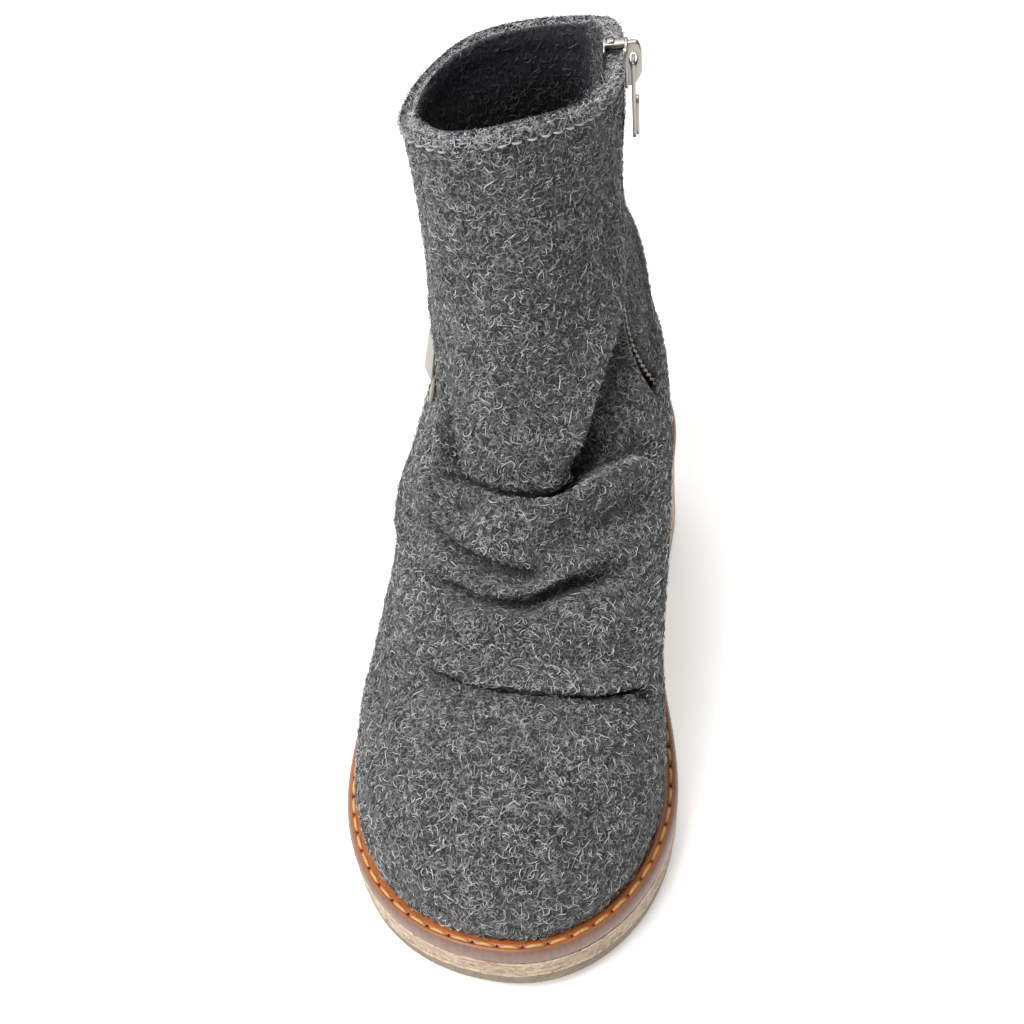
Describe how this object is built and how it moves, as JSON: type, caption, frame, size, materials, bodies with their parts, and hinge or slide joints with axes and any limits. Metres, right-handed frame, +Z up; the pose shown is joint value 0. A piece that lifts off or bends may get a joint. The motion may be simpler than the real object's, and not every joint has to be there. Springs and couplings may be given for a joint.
{
  "type": "wedge ankle bootie",
  "caption": "Right-foot slouch ankle bootie: hollow folded felt upper with a side zip on a leather welt, a climbing wedge and a flat outsole.",
  "frame": {"origin": "on the floor under the middle of the sole's box", "axes": "+Z up, +Y towards the heel (the toe points along -Y), +X towards the medial side, where the zip and the big toe are"},
  "size_m": [0.109, 0.262, 0.2019],
  "materials": {
    "felt": "boiled wool felt with loose pale fibres",
    "lining": "dark matt lining",
    "welt_leather": "tan leather with a burnished edge",
    "stacked_wedge": "pale streaked stack, satin",
    "outsole": "matt beige",
    "tape": "woven tape",
    "nickel": "nickel plate",
    "patch_leather": "brown leather",
    "plate_metal": "matt grey-brown metal"
  },
  "bodies": {
    "boot": {"upper": "felt", "insole": "lining", "welt": "welt_leather", "wedge": "stacked_wedge", "outsole": "outsole", "zip_tape": "tape", "zip_teeth": "nickel", "zip_slider": "nickel", "side_patch": "patch_leather", "side_plate": "plate_metal"},
    "pull": {"zip_pull": "nickel"}
  },
  "joints": [
    {"name": "pull_hinge", "type": "hinge", "parent": "boot", "child": "pull", "pos_m": [0.02393, 0.08011, 0.19497], "axis": [0.1334, -0.9911, 0], "range_deg": [0, 165]}
  ]
}
